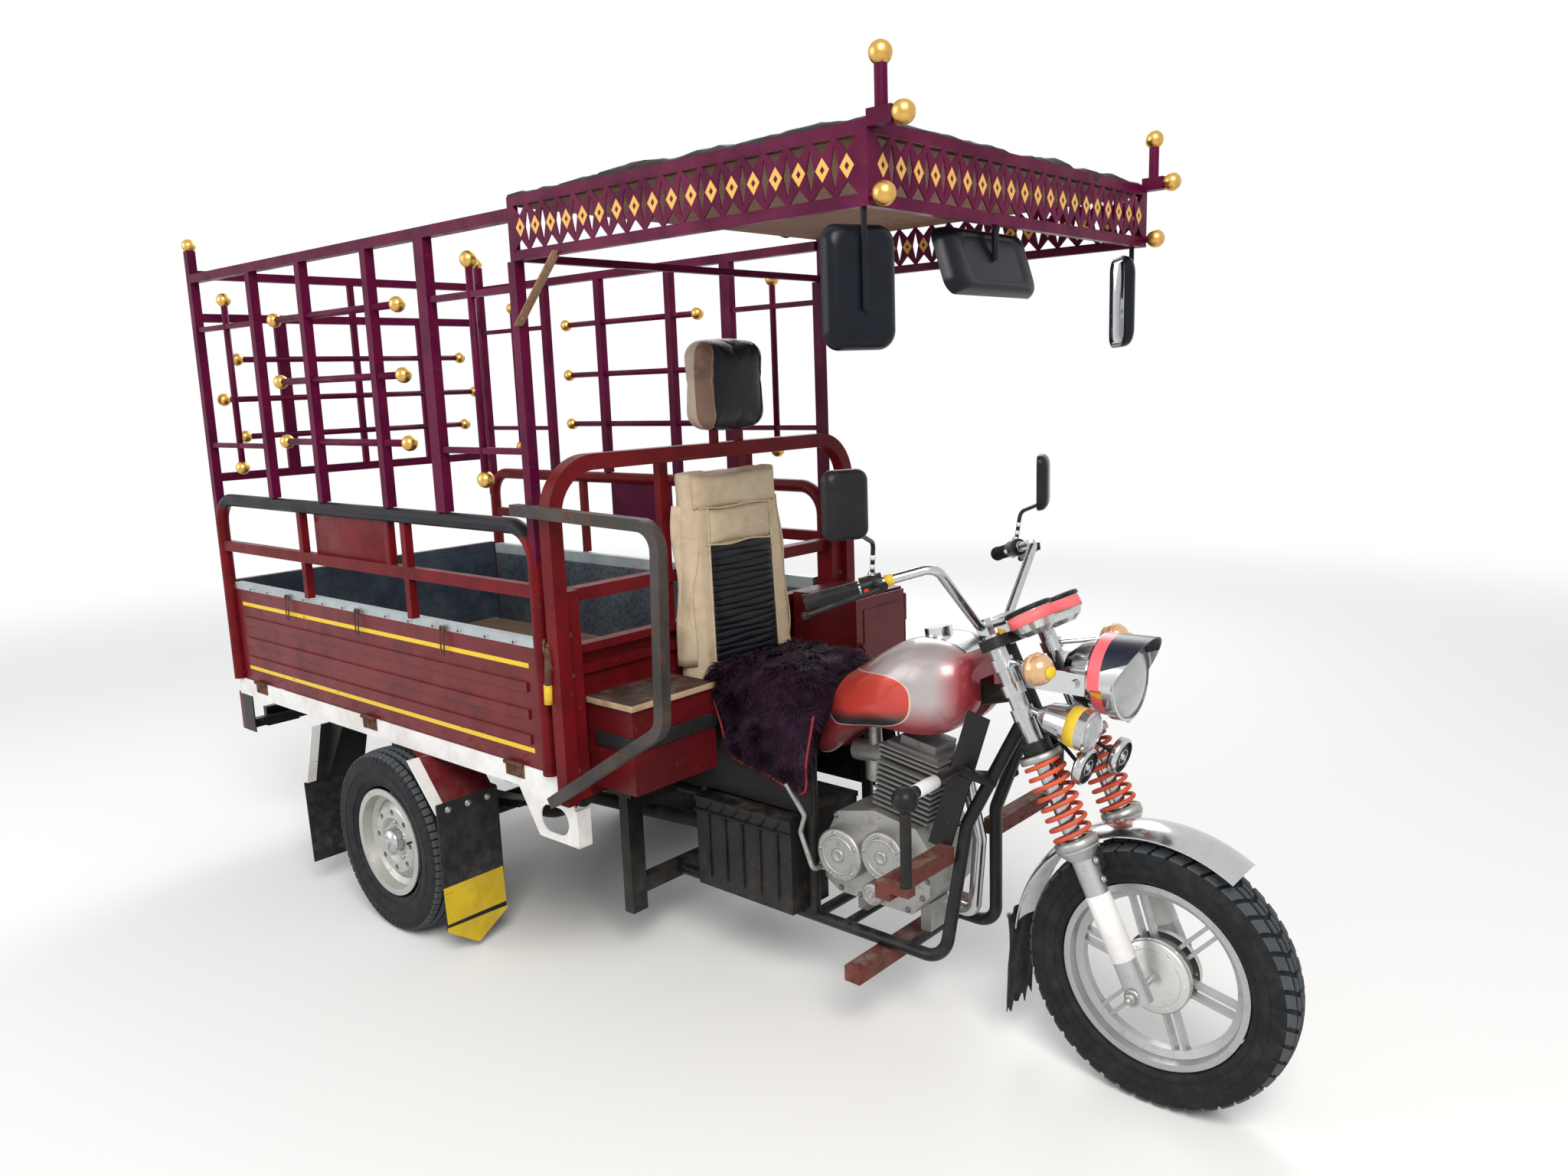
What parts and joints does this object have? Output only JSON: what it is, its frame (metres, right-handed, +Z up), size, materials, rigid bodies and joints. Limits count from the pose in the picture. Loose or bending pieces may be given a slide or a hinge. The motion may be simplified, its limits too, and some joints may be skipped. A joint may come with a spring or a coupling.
{
  "type": "cargo motor tricycle",
  "caption": "Three-wheeled motorcycle with a sprung fork, a covered driver's seat, a steel cargo box with a tall open cage, tool boxes and a drop tailgate.",
  "frame": {"origin": "on the ground, at the middle of the whole vehicle's outline seen from above", "axes": "+X forward, +Y to the driver's left, +Z up"},
  "size_m": [3.5369, 1.273, 2.1933],
  "materials": {
    "frame_black": "worn semi-gloss black paint",
    "box_red": "dark red paint with yellow stripes, worn",
    "cage_maroon": "maroon paint",
    "skirt_white": "dirty white paint",
    "galvanised": "dull galvanised sheet",
    "floor_wood": "bare planks",
    "gold": "bright gold",
    "plywood": "brown plywood",
    "tarpaulin": "black tarpaulin",
    "mirror_black": "black mirror shells",
    "tank_paint": "silver pearl fading to red",
    "seat_fur": "shaggy dark purple cover",
    "leatherette": "beige leatherette",
    "chrome": "polished chrome",
    "silver": "silver cast aluminium",
    "engine_dark": "oily cast aluminium",
    "spring_orange": "orange-red paint",
    "rubber_black": "black rubber",
    "tyre_black": "dusty tyre rubber",
    "plastic_black": "black plastic",
    "lamp_red": "red lamp lens",
    "lamp_amber": "amber lamp"
  },
  "bodies": {
    "chassis": {"backrest": "leatherette", "battery_box": "plastic_black", "box_liner": "galvanised", "cabinet": "box_red", "canopy_ceiling": "plywood", "canopy_frame": "cage_maroon", "canopy_lattice": "cage_maroon", "canopy_mirrors": "mirror_black", "canopy_roof": "tarpaulin", "carburettor": "silver", "cargo_frame": "frame_black", "cylinder": "engine_dark", "engine": "engine_dark", "exhaust": "chrome", "finial_balls": "gold", "floor_boards": "floor_wood", "foot_bars": "box_red", "front_wall": "box_red", "fuel_tank": "tank_paint", "headrest": "leatherette", "leaf_springs": "frame_black", "main_frame": "frame_black", "mudflaps": "rubber_black", "rear_axle": "frame_black", "rear_cage": "cage_maroon", "rear_fenders": "skirt_white", "seat_cushion": "seat_fur", "seat_frame": "frame_black", "side_cages": "cage_maroon", "side_guard": "frame_black", "side_hoops": "box_red", "side_walls": "box_red", "skirt_rails": "skirt_white", "tail_lamps": "lamp_red", "toolbox": "box_red"},
    "steering": {"fork_legs": "silver", "fork_springs": "spring_orange", "fork_tubes": "chrome", "fork_clamps": "frame_black", "front_fender": "chrome", "headlamp": "chrome", "front_lamps": "lamp_amber", "horns": "plastic_black", "gauges": "plastic_black", "handlebar": "chrome", "grips": "rubber_black", "controls": "plastic_black"},
    "front_wheel": {"front_rim": "silver", "front_tyre": "tyre_black"},
    "rear_wheel_right": {"rear_rim_right": "silver", "rear_tyre_right": "tyre_black"},
    "rear_wheel_left": {"rear_rim_left": "silver", "rear_tyre_left": "tyre_black"},
    "tailgate": {"tailgate": "box_red"},
    "toolbox_lid": {"toolbox_lid": "box_red"},
    "cabinet_door": {"cabinet_door": "box_red"}
  },
  "joints": [
    {"name": "steering_turn", "type": "hinge", "parent": "chassis", "child": "steering", "pos_m": [1.12403, 0, 0.89245], "axis": [-0.4352, 0, 0.9003], "range_deg": [-38, 38]},
    {"name": "front_wheel_spin", "type": "hinge", "parent": "steering", "child": "front_wheel", "pos_m": [1.465, 0, 0.302], "axis": [0, 1, 0], "continuous": true},
    {"name": "rear_wheel_right_spin", "type": "hinge", "parent": "chassis", "child": "rear_wheel_right", "pos_m": [-0.688, -0.57, 0.282], "axis": [0, 1, 0], "continuous": true},
    {"name": "rear_wheel_left_spin", "type": "hinge", "parent": "chassis", "child": "rear_wheel_left", "pos_m": [-0.688, 0.57, 0.282], "axis": [0, 1, 0], "continuous": true},
    {"name": "tailgate_drop", "type": "hinge", "parent": "chassis", "child": "tailgate", "pos_m": [-1.755, 0, 0.631], "axis": [0, -1, 0], "range_deg": [0, 90]},
    {"name": "toolbox_lid_lift", "type": "hinge", "parent": "chassis", "child": "toolbox_lid", "pos_m": [0.127, -0.3395, 0.83], "axis": [0, -1, 0], "range_deg": [0, 80]},
    {"name": "cabinet_door_swing", "type": "hinge", "parent": "chassis", "child": "cabinet_door", "pos_m": [0.393, 0.5637, 0.7925], "axis": [0, 0, 1], "range_deg": [0, 110]}
  ]
}
